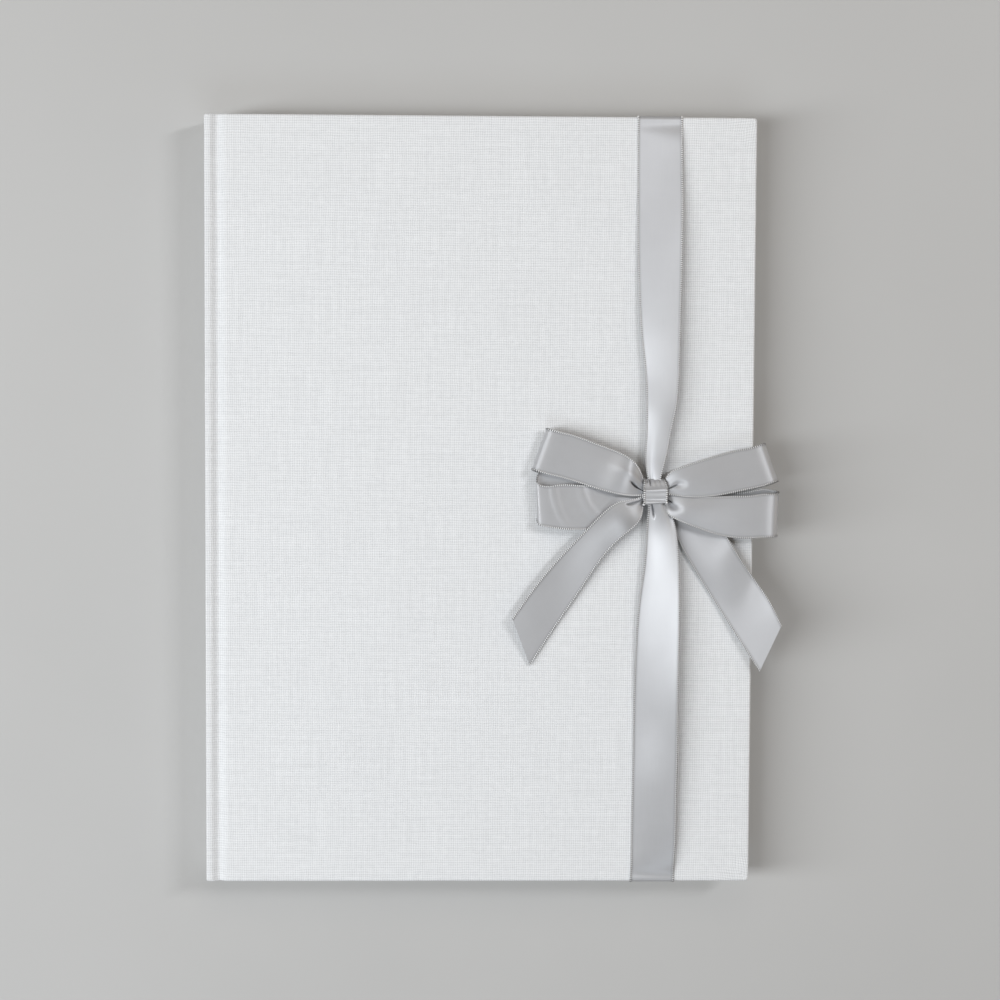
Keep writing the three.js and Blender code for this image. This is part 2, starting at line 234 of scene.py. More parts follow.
class Nodes:
    """Short names for the node calls that the materials use."""

    def __init__(self, name):
        self.material = bpy.data.materials.new(name)
        self.material.use_nodes = True
        self.tree = self.material.node_tree
        self.tree.nodes.clear()
        output = self.tree.nodes.new("ShaderNodeOutputMaterial")
        self.shader = self.tree.nodes.new("ShaderNodeBsdfPrincipled")
        self.tree.links.new(self.shader.outputs["BSDF"], output.inputs["Surface"])

    def node(self, kind, inputs=(), **settings):
        """A new node. Its inputs are given in order, or by name in a dict."""
        made = self.tree.nodes.new(kind)
        for key, value in settings.items():
            setattr(made, key, value)
        for key, value in inputs.items() if isinstance(inputs, dict) else enumerate(inputs):
            self.put(value, made.inputs[key])
        return made

    def put(self, value, socket):
        if isinstance(value, bpy.types.NodeSocket):
            self.tree.links.new(value, socket)
        else:
            socket.default_value = value

    def math(self, operation, first, second=0.0):
        return self.node("ShaderNodeMath", (first, second), operation=operation).outputs[0]

    def weigh(self, first, share, second, rest):
        """The sum of two values, each times its own share."""
        parts = self.math("MULTIPLY", first, share), self.math("MULTIPLY", second, rest)
        return self.math("ADD", *parts)

    def flat(self):
        """The piece's flat cloth coordinates, in metres."""
        return self.node("ShaderNodeUVMap", uv_map="flat").outputs[0]

    def place(self):
        """The piece's own coordinates, in metres."""
        return self.node("ShaderNodeTexCoord").outputs["Object"]

    def parts(self, vector):
        return self.node("ShaderNodeSeparateXYZ", (vector,)).outputs

    def stretched(self, vector, scale):
        return self.node("ShaderNodeMapping", {"Vector": vector, "Scale": scale}).outputs[0]

    def noise(self, vector, scale=1.0, detail=2.0, roughness=0.5, output="Fac"):
        inputs = {"Vector": vector, "Scale": scale, "Detail": detail, "Roughness": roughness}
        return self.node("ShaderNodeTexNoise", inputs).outputs[output]

    def ramp(self, value, low, high, to_low=0.0, to_high=1.0):
        return self.node("ShaderNodeMapRange", (value, low, high, to_low, to_high)).outputs[0]

    def mix(self, share, first, second):
        inputs = {"Factor": share, "A": first, "B": second}
        return self.node("ShaderNodeMix", inputs, data_type="RGBA").outputs["Result"]

    def bump(self, height, distance, strength):
        inputs = {"Strength": strength, "Distance": distance * MM, "Height": height}
        return self.node("ShaderNodeBump", inputs).outputs[0]

    def set(self, **sockets):
        """Fills the shader's inputs, named with underscores, and returns the finished material."""
        for key, value in sockets.items():
            self.put(value, self.shader.inputs[key.replace("_", " ")])
        return self.material


def colour(red, green, blue):
    return (red, green, blue, 1.0)


def shades(base, factor):
    return colour(*(min(1.0, c * factor) for c in base[:3]))


def plain_weave(nodes, pitch, wander):
    """Height of a plain weave, from the pitch of its upright and of its level threads.

    `wander` is how far the threads stray from a straight line."""
    flat = nodes.flat()
    soft = nodes.noise(flat, 160.0, 1.0, output="Color")
    reach = (wander * MM, wander * MM, 0.0)
    drift = nodes.node("ShaderNodeVectorMath", (soft, reach, flat), operation="MULTIPLY_ADD")
    across, along = (
        nodes.math("SINE", nodes.math("MULTIPLY", part, math.pi / (step * MM)))
        for part, step in zip(nodes.parts(drift.outputs[0]), pitch)
    )
    crossing = nodes.math("MULTIPLY", across, along)
    warp = nodes.math("ADD", nodes.math("ABSOLUTE", across), crossing)
    weft = nodes.math("SUBTRACT", nodes.math("ABSOLUTE", along), crossing)
    return nodes.math("MULTIPLY", nodes.math("MAXIMUM", warp, weft), 0.5), flat


def book_cloth():
    """Off-white linen-weave cloth, its threads uneven in tone and thickness, with painted shade in
    the gaps between them.
    """
    nodes = Nodes("book_cloth")
    base = colour(0.737, 0.743, 0.753)
    weave, flat = plain_weave(nodes, (0.88, 0.97), 0.75)
    upright = nodes.noise(nodes.stretched(flat, (1150, 34, 1)), 1.0, 2.0, 0.6)
    level = nodes.noise(nodes.stretched(flat, (34, 1030, 1)), 1.0, 2.0, 0.6)
    threads = nodes.math("ADD", upright, level)
    slub = nodes.ramp(threads, 0.72, 1.28)
    lit = nodes.mix(slub, shades(base, 0.945), shades(base, 1.055))
    # Painted shade in the gaps between the threads, deeper in some patches than in others.
    depth = nodes.ramp(nodes.noise(flat, 420.0, 3.0, 0.6), 0.3, 0.7, 0.5, 1.0)
    gap = nodes.math("MULTIPLY", nodes.ramp(weave, 0.15, 0.8, 1.0, 0.0), depth)
    tone = nodes.mix(gap, lit, shades(base, 0.72))
    height = nodes.math("ADD", weave, nodes.math("MULTIPLY", slub, 0.5))
    return nodes.set(
        Base_Color=tone,
        Roughness=nodes.ramp(weave, 0.0, 1.0, 0.95, 0.78),
        Normal=nodes.bump(height, 0.13, 0.6),
        Sheen_Weight=0.1,
        Sheen_Roughness=0.5,
        Specular_IOR_Level=0.2,
    )


def satin():
    """Silver-grey satin: fine lengthwise floats that stretch the gloss across the ribbon."""
    nodes = Nodes("satin_ribbon")
    base = colour(0.489, 0.491, 0.505)
    flat = nodes.flat()
    floats = nodes.noise(nodes.stretched(flat, (90, 7500, 1)), 1.0, 2.0, 0.5)
    picks = nodes.noise(nodes.stretched(flat, (5200, 160, 1)), 1.0, 1.0, 0.5)
    cloud = nodes.noise(flat, 120.0, 2.0, 0.5)
    grain = nodes.weigh(floats, 0.65, picks, 0.35)
    shade = nodes.ramp(nodes.weigh(grain, 0.7, cloud, 0.3), 0.3, 0.7)
    half = RIBBON_WIDTH / 2
    middle = nodes.math("ABSOLUTE", nodes.math("SUBTRACT", nodes.parts(flat)[1], half * MM))
    # Painted shade in a thin line beside each selvedge, where the satin floats end.
    painted_edge_shade = nodes.ramp(middle, (half - 1.1) * MM, (half - 0.3) * MM)
    woven = nodes.mix(shade, shades(base, 0.955), shades(base, 1.045))
    return nodes.set(
        Base_Color=nodes.mix(painted_edge_shade, woven, shades(base, 0.78)),
        Roughness=nodes.ramp(grain, 0.3, 0.7, 0.47, 0.53),
        Normal=nodes.bump(grain, 0.02, 0.35),
        Tangent=nodes.node("ShaderNodeTangent", direction_type="UV_MAP", uv_map="flat").outputs[0],
        Metallic=0.36,
        Anisotropic=0.93,
        Anisotropic_Rotation=0.25,
        Sheen_Weight=0.15,
        Sheen_Roughness=0.35,
        Specular_IOR_Level=0.8,
    )


def selvedge():
    """The tightly woven edge of the ribbon, duller, with a painted highlight on each thread loop
    and painted shade between them.
    """
    nodes = Nodes("satin_selvedge")
    base = colour(0.52, 0.515, 0.515)
    turn = 2 * math.pi / (PICOT_PITCH * MM)
    stitch = nodes.math("SINE", nodes.math("MULTIPLY", nodes.parts(nodes.flat())[0], turn))
    # Painted highlight on each picot and painted shade between them, at the stitch pitch.
    tone = nodes.mix(nodes.ramp(stitch, -0.3, 0.8), shades(base, 0.3), shades(base, 1.6))
    rough = nodes.ramp(nodes.noise(nodes.place(), 6000.0, 1.0), 0.3, 0.7, 0.45, 0.6)
    return nodes.set(Base_Color=tone, Roughness=rough, Sheen_Weight=0.2)


def paper(name, base, fibre):
    """Uncoated paper: long soft fibres and a slight mottle."""
    nodes = Nodes(name)
    place = nodes.place()
    fibres = nodes.noise(nodes.stretched(place, (900, 420, 900)), 1.0, 4.0, 0.65)
    mottle = nodes.noise(place, 45.0, 3.0, 0.6)
    shade = nodes.ramp(nodes.math("ADD", nodes.math("MULTIPLY", fibres, fibre), mottle), 0.5, 1.2)
    tone = nodes.mix(shade, shades(base, 0.95), shades(base, 1.03))
    return nodes.set(
        Base_Color=tone,
        Roughness=nodes.ramp(fibres, 0.3, 0.7, 0.82, 0.93),
        Normal=nodes.bump(fibres, 0.04, 0.3),
        Specular_IOR_Level=0.25,
    )


def greyboard():
    """Grey millboard with flecks."""
    nodes = Nodes("greyboard")
    place = nodes.place()
    fleck = nodes.noise(place, 1400.0, 4.0, 0.7)
    base = colour(0.27, 0.262, 0.245)
    tone = nodes.mix(nodes.ramp(fleck, 0.35, 0.7), shades(base, 0.75), shades(base, 1.25))
    return nodes.set(Base_Color=tone, Roughness=nodes.ramp(fleck, 0.3, 0.7, 0.85, 0.98))


def gauze():
    """Open-weave lining cloth."""
    nodes = Nodes("gauze")
    place = nodes.place()
    threads = {
        "Vector": place,
        "Scale": 1.0,
        "Brick Width": 0.0012,
        "Row Height": 0.0012,
        "Mortar Size": 0.0003,
        "Color1": colour(0.36, 0.33, 0.27),
        "Color2": colour(0.40, 0.37, 0.31),
        "Mortar": colour(0.72, 0.68, 0.60),
    }
    grid = nodes.node("ShaderNodeTexBrick", threads, offset=0.0)
    rough = nodes.ramp(nodes.noise(place, 900.0), 0.3, 0.7, 0.85, 0.95)
    return nodes.set(Base_Color=grid.outputs["Color"], Roughness=rough)


def sewn_silk():
    """Thread wound round the head and tail bands."""
    nodes = Nodes("sewn_silk")
    place = nodes.place()
    turns = nodes.noise(nodes.stretched(place, (200, 200, 5200)), 1.0, 1.0)
    base = colour(0.80, 0.79, 0.76)
    tone = nodes.mix(nodes.ramp(turns, 0.35, 0.65), shades(base, 0.82), shades(base, 1.05))
    rough = nodes.ramp(turns, 0.3, 0.7, 0.5, 0.65)
    return nodes.set(Base_Color=tone, Roughness=rough, Sheen_Weight=0.3)


def floor_paint():
    """A plain pale matt floor."""
    nodes = Nodes("floor")
    base = colour(0.458, 0.453, 0.445)
    wash = nodes.noise(nodes.place(), 4.0, 4.0, 0.6)
    tone = nodes.mix(nodes.ramp(wash, 0.3, 0.7), shades(base, 0.975), shades(base, 1.025))
    return nodes.set(Base_Color=tone, Roughness=nodes.ramp(wash, 0.3, 0.7, 0.9, 0.96))


CLOTH_LOOK = book_cloth()
SATIN_LOOK = satin()
SELVEDGE_LOOK = selvedge()
PAGE_LOOK = paper("page_paper", colour(0.80, 0.785, 0.745), 0.9)
ENDPAPER_LOOK = paper("endpaper", colour(0.79, 0.78, 0.755), 0.7)
BOARD_LOOK = greyboard()
GAUZE_LOOK = gauze()
SILK_LOOK = sewn_silk()


# ---- Cloth of the case ----
# One cover is drawn as the back one, with depth running inwards from its outer face.
# Flat coordinates run on from piece to piece, so that the weave has no break at a seam.


def from_depth(front):
    """Turns a depth below a cover's outer face into a height."""
    return (lambda depth: TOP - depth) if front else (lambda depth: depth)


def groove_path():
    """Outer line of the cloth from the cover, across the soft groove and over the spine's edge.

    Each point is a place along X and a depth below the cover's outer face."""
    rows = [
        (9.5, 0.0), (9.0, 0.01), (8.4, 0.08), (7.8, 0.25), (7.2, 0.52), (6.5, 0.90),
        (5.7, 1.23), (4.9, 1.30), (4.1, 1.00), (3.1, 0.42), (2.4, 0.12), (1.6, 0.02),
        (0.85, 0.03), (0.28, 0.2), (0.05, 0.62), (0.0, 1.3), (0.0, 2.3), (0.0, SPINE_SEAM),
    ]
    return spline([(SPINE_X + x, depth) for x, depth in rows], 64)


GROOVE = groove_path()
GROOVE_LENGTH = lengths(GROOVE)[-1]


def lining_path(count):
    """Inner line of the same stretch, against the boards and the text block's joint."""
    inner = SPINE_HIGH[0]
    rows = [
        (CLOTH_SEAM_X, COVER_DEPTH), (FRONT_LOW[0] - 1.0, COVER_DEPTH),
        (inner + 1.0, COVER_DEPTH), (inner, COVER_DEPTH + 0.1), (inner, SPINE_SEAM),
    ]
    points = np.array(rows)
    run = lengths(points)
    return at_lengths(np.linspace(0, run[-1], count), run, points)


def end_profile():
    """How the cloth goes over an end, as pairs: the share of the way from the outer line to the
    inner one, and the distance in from the end."""
    steps = 5
    profile = [(0.0, 40.0), (0.0, 12.0), (0.0, 4.0), (0.0, 1.6)]
    for i in range(steps + 1):
        angle = i / steps * math.pi / 2
        profile.append((0.28 * (1 - math.cos(angle)), 0.7 * (1 - math.sin(angle))))
    for i in range(1, steps + 1):
        angle = i / steps * math.pi / 2
        profile.append((0.78 + 0.22 * math.sin(angle), 0.5 * (1 - math.cos(angle))))
    profile += [(1.0, 4.0), (1.0, TURN_IN)]
    return profile


def wrapped_strip(name, outer, inner, flat_start, to_height):
    """Cloth over an outer line, turned in over both ends to lie along the inner line."""
    surface = Surface()
    run = lengths(outer)
    profile = np.array(end_profile())
    folded = HALF_HEIGHT - profile[0, 1] + lengths(profile * (COVER_DEPTH, 1.0))
    points, flats = [], []
    for side in (-1, 1):
        for (share, inset), v in zip(profile[::side], folded[::side]):
            line = outer + (inner - outer) * share
            y = side * (HALF_HEIGHT - inset)
            points.append([(x, y, to_height(depth)) for x, depth in line])
            flats.append([(flat_start - s, side * v) for s in run])
    surface.grid(points, flats)
    return surface.object(name, CLOTH_LOOK)


def cover_ring():
    """Points round a cover's three wrapped sides: each on the grid inside, and on the edge."""
    arc = 7
    x0, x1 = CLOTH_SEAM_X, FORE_X - GRID_INSET
    y1 = HALF_HEIGHT - GRID_INSET
    edge_x, edge_y = FORE_X - CORNER, HALF_HEIGHT - CORNER
    across = list(np.linspace(x0, x1 - 1.0, 26))
    up = list(np.linspace(1.0 - y1, y1 - 1.0, 44))
    small = np.linspace(1.0, 0.0, arc + 1)[1:-1]
    corner = [((x1 - t, y1), (k + 1) / (2 * arc) * math.pi / 2) for k, t in enumerate(small)]
    corner.append(((x1, y1), math.pi / 4))
    for k, t in enumerate(small[::-1]):
        corner.append(((x1, y1 - t), math.pi / 4 + (k + 1) / (2 * arc) * math.pi / 2))
    half = [((x, y1), (x, HALF_HEIGHT)) for x in across[:-1]]
    half.append(((across[-1], y1), (edge_x, HALF_HEIGHT)))
    for place, angle in corner:
        half.append((place, (edge_x + CORNER * math.sin(angle), edge_y + CORNER * math.cos(angle))))
    half.append(((x1, up[-1]), (FORE_X, edge_y)))
    ring = [((a, -b), (c, -d)) for (a, b), (c, d) in half]
    ring += [((x1, y), (FORE_X, y)) for y in up[1:-1]]
    return ring + half[::-1]


def cover_profile():
    """From the flat of the cover round its edge: (share from grid to edge, depth) pairs."""
    profile = [(0.0, 0.0), (0.5, 0.0)]
    for angle in np.linspace(0, math.pi / 2, 6):
        share = 1 - EDGE_ROUND * (1 - math.sin(angle)) / GRID_INSET
        profile.append((share, EDGE_ROUND * (1 - math.cos(angle))))
    for angle in np.linspace(0, math.pi / 2, 5):
        share = 1 - EDGE_ROUND_INSIDE * (1 - math.cos(angle)) / GRID_INSET
        profile.append((share, COVER_DEPTH - EDGE_ROUND_INSIDE * (1 - math.sin(angle))))
    return profile


def cover_cloth(name, front):
    """Cloth of one cover: its outer face, rounded edges and corners, and the turned-in margins."""
    to_height = from_depth(front)
    surface = Surface()
    ring = cover_ring()
    grid_places = np.array([place for place, _ in ring])
    edges = np.array([edge for _, edge in ring])
    outward = unit(edges - grid_places)
    profile = np.array(cover_profile())
    rows, flats = [], []
    for (share, depth), reach in zip(profile, lengths(profile * (GRID_INSET, 1.0))):
        places = grid_places + (edges - grid_places) * share
        rows.append([(x, y, to_height(depth)) for x, y in places])
        flats.append([tuple(p) for p in grid_places + outward * reach])
    aside = 30.0  # keeps the margin's weave apart from the face's
    for distance in (1.2, 3.0, TURN_IN):
        xs = np.minimum(edges[:, 0], FORE_X - distance)
        ys = np.clip(edges[:, 1], distance - HALF_HEIGHT, HALF_HEIGHT - distance)
        rows.append([(x, y, to_height(COVER_DEPTH)) for x, y in zip(xs, ys)])
        flats.append([(x + aside, y + aside) for x, y in zip(xs, ys)])
    index = surface.grid(rows, flats, flip=front)
    top_face(surface, index[0], grid_places, to_height, front)
    return merge_close(surface.object(name, CLOTH_LOOK, sharp=50.0))


def top_face(surface, ring_index, places, to_height, flip):
    """Fills a cover's outer face with a grid whose border is the ring's first row."""
    xs = sorted({round(x, 4) for x in places[:, 0]})
    ys = sorted({round(y, 4) for y in places[:, 1]})
    known = {(round(x, 4), round(y, 4)): i for (x, y), i in zip(places, ring_index)}
    index = []
    for y in ys:
        row = [known.get((x, y)) for x in xs]
        for k, x in enumerate(xs):
            if row[k] is None:
                row[k] = surface.add((x, y, to_height(0.0)), (x, y))
        index.append(row)
    surface.quads(index, flip=not flip)


def case_cloth():
    """The cloth of the covers, the joints and the spine, with the weave running on through all."""
    made = {}
    for side, front in (("front", True), ("back", False)):
        to_height = from_depth(front)
        made[side] = cover_cloth(f"{side}_cover_linen", front)
        lining = lining_path(len(GROOVE))
        strip = wrapped_strip(f"{side}_joint_linen", GROOVE, lining, CLOTH_SEAM_X, to_height)
        if front:
            strip.data.flip_normals()
        made[f"{side}_joint"] = strip
    low, high = SPINE_SEAM, THICKNESS - SPINE_SEAM
    heights = np.linspace(high, low, 8)
    outer = np.array([(SPINE_X, z) for z in heights])
    inner = np.array([(SPINE_HIGH[0], z) for z in heights])
    flat_start = CLOTH_SEAM_X - GROOVE_LENGTH
    made["spine"] = wrapped_strip("spine_linen", outer, inner, flat_start, lambda z: z)
    made["spine"].data.flip_normals()
    return made


cloth = case_cloth()
for piece in cloth.values():
    thicken(piece, CLOTH)
for side in ("front", "back"):
    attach(cloth[side], f"{side}_cover")
    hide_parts(f"{side}_cover_cloth")
    height = from_depth(side == "front")(BEND_DEPTH) * MM
    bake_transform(cloth[f"{side}_joint"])
    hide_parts(f"{side}_joint_cloth")
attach(cloth["spine"], "spine")
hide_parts("spine_cloth")


# ---- Text block and endpapers ----


def sheet_of_paper(surface, points, width, thickness):
    """A folded or single sheet: a path in X and Z, given thickness and run from head to tail."""
    path = np.array(points, float)
    along = unit(np.gradient(path, axis=0))
    side = np.stack([-along[:, 1], along[:, 0]], axis=1) * thickness / 2
    outline = np.concatenate([path + side, (path - side)[::-1]])
    loops = [[surface.add((x, y, z), (x, y)) for x, z in outline] for y in (-width / 2, width / 2)]
    count = len(outline)
    for i in range(count):
        j = (i + 1) % count
        surface.faces.append((loops[0][i], loops[0][j], loops[1][j], loops[1][i]))
    half = count // 2
    for end, loop in enumerate(loops):
        for i in range(half - 1):
            face = (loop[i], loop[i + 1], loop[count - 2 - i], loop[count - 1 - i])
            surface.faces.append(face if end else face[::-1])


def section_sheets(number):
    """One sewn section as its folded sheets, each inside the next."""
    low, high = span(f"section_{number}")
    surface = Surface()
    sheets = 3
    leaf = (high[2] - low[2]) / (2 * sheets)
    middle = (low[2] + high[2]) / 2
    for k in range(sheets):
        radius = leaf * (sheets - k - 0.5)
        fold_x = low[0] + leaf * k + leaf / 2
        trim = RNG.uniform(-0.12, 0.0)
        centre = fold_x + radius
        straight = [high[0] + trim, high[0] / 2, centre + 1.0]
        turns = [-math.pi / 2 - i / 8 * math.pi for i in range(9)]
        path = [(x, middle - radius) for x in straight]
        path += [(centre + radius * math.cos(a), middle + radius * math.sin(a)) for a in turns]
        path += [(x, middle + radius) for x in straight[::-1]]
        width = high[1] - low[1] - RNG.uniform(0.0, 0.16)
        sheet_of_paper(surface, path, width, leaf * PAPER_SHARE)
    return surface.object(f"section_{number}_leaves", PAGE_LOOK, sharp=30.0)


def flat_paper(name, node):
    """An endpaper leaf."""
    low, high = span(node)
    surface = Surface()
    thickness = high[2] - low[2]
    middle = (low[2] + high[2]) / 2
    xs = [low[0], low[0] + 0.2, low[0] + 4, (low[0] + high[0]) / 2]
    xs += [high[0] - 4, high[0] - 0.2, high[0]]
    sheet_of_paper(surface, [(x, middle) for x in xs], high[1] - low[1], thickness)
    return surface.object(name, ENDPAPER_LOOK, sharp=30.0)


for number in range(1, 9):
    leaves = section_sheets(number)
    body = {1: "front_cover", 8: "back_cover"}.get(number, f"section_{number}")
    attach(leaves, body)
    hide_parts(f"section_{number}")
for side in ("front", "back"):
    for part in ("pastedown", "flyleaf"):
        made = flat_paper(f"{side}_{part}_paper", f"{side}_{part}")
        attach(made, f"{side}_cover")
        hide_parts(f"{side}_{part}")


def end_band(name, node, end):
    """A rolled band with thread wound round it, and its flap against the folds of the sections."""
    low, high = span(node)
    surface = Surface()
    middle_x = (low[0] + high[0]) / 2
    radius = (high[0] - low[0]) / 2
    lip = (high[1] if end > 0 else -low[1]) - radius
    flap = low[1] if end > 0 else -high[1]
    stitch, neck = 0.11, radius * 0.35
    rows = int((high[2] - low[2]) / stitch)
    points = []
    for i in range(rows + 1):
        z = low[2] + (high[2] - low[2]) * i / rows
        reach = radius * 0.95 * (1.0 + 0.1 * math.sin(2 * math.pi * i / 3))
        loop = [(middle_x + neck, end * flap), (middle_x + neck, end * (lip - radius))]
        for k in range(9):
            angle = -0.35 + k / 8 * (math.pi + 0.7)
            loop.append((middle_x + reach * math.cos(angle), end * (lip + reach * math.sin(angle))))
        loop += [(middle_x - neck, end * (lip - radius)), (middle_x - neck, end * flap)]
        points.append([(x, y, z) for x, y in loop + loop[:1]])
    flats = [[(p[0], p[1]) for p in row] for row in points]
    surface.caps(surface.grid(points, flats, flip=end > 0), flip=end > 0)
    return merge_close(surface.object(name, SILK_LOOK, sharp=60.0), 0.001)


for node, end in (("headband", 1), ("tailband", -1)):
    made = end_band(f"{node}_sewn", node, end)
    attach(made, "spine")
    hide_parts(node)


# ---- Ribbon ----


def selvedge_line(surface, line, other, side, bead):
    """The bead of woven thread along one edge of a ribbon, with a picot at each stitch."""
    run = lengths(line)
    count = max(8, int(run[-1] / (PICOT_PITCH / 4)))
    at = np.linspace(0, run[-1], count)
    fine = at_lengths(at, run, line)
    inward = unit(at_lengths(at, run, other - line))
    up = unit(np.cross(unit(np.gradient(fine, axis=0)), inward))
    sides = 6
    points, coordinates = [], []
    for i in range(count):
        picot = 0.5 + 0.5 * math.cos(2 * math.pi * at[i] / PICOT_PITCH)
        radius = bead * (0.7 + 0.6 * picot)
        centre = fine[i] - inward[i] * 0.1 * picot
        loop = []
        for k in range(sides + 1):
            angle = 2 * math.pi * k / sides
            rim = inward[i] * radius * math.cos(angle) + up[i] * radius * math.sin(angle)
            loop.append(centre + rim)
        points.append(loop)
        coordinates.append([(at[i], 0.0)] * (sides + 1))
    surface.caps(surface.grid(points, coordinates, flip=side > 0), flip=side > 0)


def ribbon(name, first, second, relief, samples, across, facing=0.5, bead=SELVEDGE):
    """A ribbon between two selvedges, with a relief that folds it.

    `first` and `second` are rows of points for the two edges. `relief` gives the height off the
    ribbon's face, from the distance along it, the share across it and the place from the knot.
    The face is the side that looks up at the share `facing` of the length."""
    left = spline(first, samples)
    right = spline(second, samples)
    middle = (left + right) / 2
    run = lengths(middle)
    width = right - left
    normal = unit(np.cross(width, unit(np.gradient(middle, axis=0))))
    if normal[int(facing * samples)][2] < 0:
        normal = -normal
    run_left, run_right = lengths(left), lengths(right)
    origin = np.array([KNOT[0], KNOT[1], TOP])
    points, flats = [], []
    for i in range(samples):
        row, flat = [], []
        for j in range(across + 1):
            share = j / across
            place = left[i] + width[i] * share
            row.append(place + normal[i] * relief(run[i], share, place - origin))
            flat.append((run_left[i] * (1 - share) + run_right[i] * share, share * RIBBON_WIDTH))
        points.append(row)
        flats.append(flat)
    body = Surface()
    body.grid(points, flats)
    cloth_piece = body.object(name, SATIN_LOOK, sharp=None)
    thicken(cloth_piece, SATIN, offset=0.0)
    dense = np.array(points)
    edge = Surface()
    selvedge_line(edge, dense[:, 0], dense[:, 1], -1, bead)
    selvedge_line(edge, dense[:, -1], dense[:, -2], 1, bead)
    edge_piece = edge.object(f"{name}_selvedge", SELVEDGE_LOOK, sharp=None)
    return cloth_piece, edge_piece


def pleat(distance, share, at, depth, reach, width, peak):
    """A soft gather along the ribbon: deepest at the distance `peak`, fading over `reach`."""
    fade = math.exp(-(((distance - peak) / reach) ** 2))
    return -depth * fade * math.exp(-(((share - at) / width) ** 2))


def slit(distance, share, start, end, depth, length, width):
    """A sharp furrow pulled into the knot, from one share of the width to another.

    It is narrow at the knot, widest at two thirds of its length, and ends in a round."""
    part = distance / length
    if not 0.0 <= part < 1.0:
        return 0.0
    reach = width * (0.45 + 0.55 * smooth_step(part, 0.0, 0.65)) * math.sqrt(1.0 - part**4)
    across = (share - start - (end - start) * part) / max(reach, 0.004)
    return -depth * (1.0 - 0.85 * smooth_step(part, 0.7, 1.0)) * math.exp(-(across**4))


def at_knot(places):
    """Places given from the knot's centre, and heights from the front cover's face."""
    return [np.array([KNOT[0] + x, KNOT[1] + y, TOP + z]) for x, y, z in places]


def finish_ribbon(parts, node):
    cloth_piece, edge_piece = parts
    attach(cloth_piece, "front_cover")
    edge_piece.parent = cloth_piece
    edge_piece.matrix_parent_inverse = cloth_piece.matrix_world.inverted()
    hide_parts(node)


def band():
    """The band round the front board, gathered up into the knot and lifted along its right edge."""
    lift = 0.22  # of the ribbon's middle line, off the cloth
    edge_y = HALF_HEIGHT + lift
    inner = COVER_DEPTH + SATIN / 2
    hem = 12.0
    left, right = -RIBBON_WIDTH / 2 - 0.1, RIBBON_WIDTH / 2 - 0.1
    # Place along Y, how far the two edges are shifted along X, and their heights off the cover.
    rows = [
        (edge_y - 6, 0, 0, 0.25, 0.6),
        (140, 0, 0, 0.2, 1.2),
        (120, 0.1, 0.2, 0.5, 2.7),
        (100, 0.3, 0, 1.2, 4.0),
        (80.5, 1.0, -0.3, 2.0, 4.6),
        (64.7, 2.1, -0.6, 2.7, 4.8),
        (49, 3.7, -1.0, 3.4, 5.0),
        (37, 4.0, -2.1, 3.9, 5.1),
        (27.5, 4.0, -4.1, 3.8, 5.2),
        (18.8, 3.6, -5.7, 4.0, 5.3),
        (12.0, 4.2, -7.4, 4.5, 5.3),
        (7.0, 5.0, -8.0, 4.6, 5.2),
        (1.5, 5.0, -6.6, 4.4, 4.8),
        (-2.5, 5.0, -4.2, 3.9, 4.7),
        (-6.2, 4.7, -2.6, 3.5, 4.7),
        (-12.2, 4.4, -1.3, 3.0, 4.9),
        (-23.8, 3.7, -0.3, 2.9, 5.3),
        (-39, 1.9, 0.1, 2.3, 6.0),
        (-58.8, 0.7, 0, 1.6, 6.3),
        (-79, 0.2, -0.2, 0.8, 6.0),
        (-99, 0.1, -0.1, 0.4, 5.0),
        (-119.4, -0.1, -0.3, 0.25, 3.9),
        (-140, -0.3, -0.5, 0.2, 2.4),
        (6 - edge_y, -0.4, -0.7, 0.25, 1.0),
    ]

    def over_end(side, shift):
        """From the cover's face, over its end and in behind the pastedown."""
        points = (
            (edge_y - 2.0, lift), (edge_y - 0.55, 0.12), (edge_y - 0.08, -0.45), (edge_y, -1.4),
            (edge_y - 0.08, 0.45 - inner), (edge_y - 0.6, -inner), (edge_y - 3.0, -inner),
            (edge_y - hem, 0.05 - inner),
        )
        return [(side * y, shift, shift, z, z) for y, z in points]

    rows = over_end(1, 0.0)[::-1] + rows + over_end(-1, -0.6)
    first = [(BAND_X + (left + shift), y, TOP + z) for y, shift, _, z, _ in rows]
    second = [(BAND_X + (right + shift), y, TOP + z) for y, _, shift, _, z in rows]
    crossing = HALF_HEIGHT + hem + COVER_DEPTH - KNOT[1]  # along the ribbon to the knot

    def relief(distance, share, place):
        out = distance - crossing
        near = abs(out)
        on_cover = 1 - smooth_step(near, 90, 120)
        if out < 0:
            bulge = 1 - (1 - share) ** 1.7 - share
            return 2.3 * on_cover * bulge + pleat(near, share, 0.27, 0.75, 13.0, 0.17, 3.0)
        close = math.exp(-((near / 45) ** 2))
        rise = close * smooth_step(share, 0.0, 0.9) + (1 - close) * share**1.7 - share
        folds = slit(near - 4.3, share, 0.16, 0.25, 1.7, 6.6, 0.07)
        folds += pleat(near, share, 0.93, 1.4, 7.0, 0.09, 4.0)
        arch = 1.3 * math.exp(-near / 14) * math.sin(math.pi * share)
        return (3.0 + 1.8 * close) * on_cover * rise + arch + folds

    whole = 2 * (HALF_HEIGHT + COVER_DEPTH + hem)
    parts = ribbon("ribbon_band_satin", first, second, relief, samples=520, across=44)
    return parts, whole


